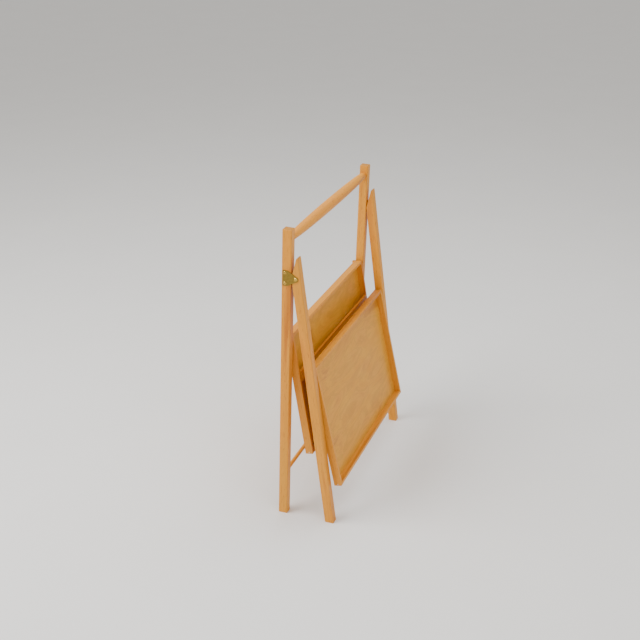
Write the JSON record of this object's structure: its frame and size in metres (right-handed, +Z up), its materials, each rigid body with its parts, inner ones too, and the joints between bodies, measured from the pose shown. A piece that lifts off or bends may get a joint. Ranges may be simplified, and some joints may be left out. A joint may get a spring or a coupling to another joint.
{
  "type": "folding tray table",
  "caption": "Folding wooden side table: two hinged leg frames with a turned handle between the tall legs and two tilting trays with raised rims.",
  "frame": {"origin": "on the floor, under the middle of the table's bounding box", "axes": "+X along the handle, +Y from the tall frame to the short frame, +Z up"},
  "size_m": [0.6692, 0.1902, 0.9008],
  "materials": {
    "leg_wood": "satin",
    "turned_wood": "satin",
    "tray_rim_wood": "satin",
    "plywood": "satin",
    "brass": "satin",
    "brass_screw": "polished",
    "steel": "brushed"
  },
  "bodies": {
    "tall_frame": {"handle": "turned_wood", "hinge_pin_left": "brass", "hinge_pin_right": "brass", "hinge_plate_left": "brass", "hinge_plate_right": "brass", "hinge_screws_left": "brass_screw", "hinge_screws_right": "brass_screw", "stretcher": "turned_wood", "tall_leg_left": "leg_wood", "tall_leg_right": "leg_wood", "upper_tray_pivot_left": "steel", "upper_tray_pivot_right": "steel"},
    "short_frame": {"lower_tray_pivot_left": "steel", "lower_tray_pivot_right": "steel", "short_leg_left": "leg_wood", "short_leg_right": "leg_wood"},
    "upper_tray": {"upper_tray_base": "plywood", "upper_tray_batten": "tray_rim_wood", "upper_tray_bottom_rim": "tray_rim_wood", "upper_tray_cheek_left": "tray_rim_wood", "upper_tray_cheek_right": "tray_rim_wood", "upper_tray_corner_pins": "steel", "upper_tray_left_rim": "tray_rim_wood", "upper_tray_right_rim": "tray_rim_wood", "upper_tray_top_rim": "tray_rim_wood"},
    "lower_tray": {"lower_tray_base": "plywood", "lower_tray_bottom_rim": "tray_rim_wood", "lower_tray_corner_pins": "steel", "lower_tray_left_rim": "tray_rim_wood", "lower_tray_right_rim": "tray_rim_wood", "lower_tray_top_rim": "tray_rim_wood"}
  },
  "joints": [
    {"name": "frame_fold", "type": "hinge", "parent": "tall_frame", "child": "short_frame", "pos_m": [0, -0.03128, 0.76266], "axis": [1, 0, 0], "range_deg": [-9, 11.5]},
    {"name": "upper_tray_tilt", "type": "hinge", "parent": "tall_frame", "child": "upper_tray", "pos_m": [0, -0.06476, 0.57157], "axis": [1, 0, 0], "range_deg": [-10.91, 13.98]},
    {"name": "lower_tray_tilt", "type": "hinge", "parent": "short_frame", "child": "lower_tray", "pos_m": [0, 0.00517, 0.47809], "axis": [1, 0, 0], "range_deg": [-5, 77.7]}
  ],
  "couplings": [
    {"joint": "upper_tray_tilt", "follows": "frame_fold", "ratio": 1.2111}
  ]
}
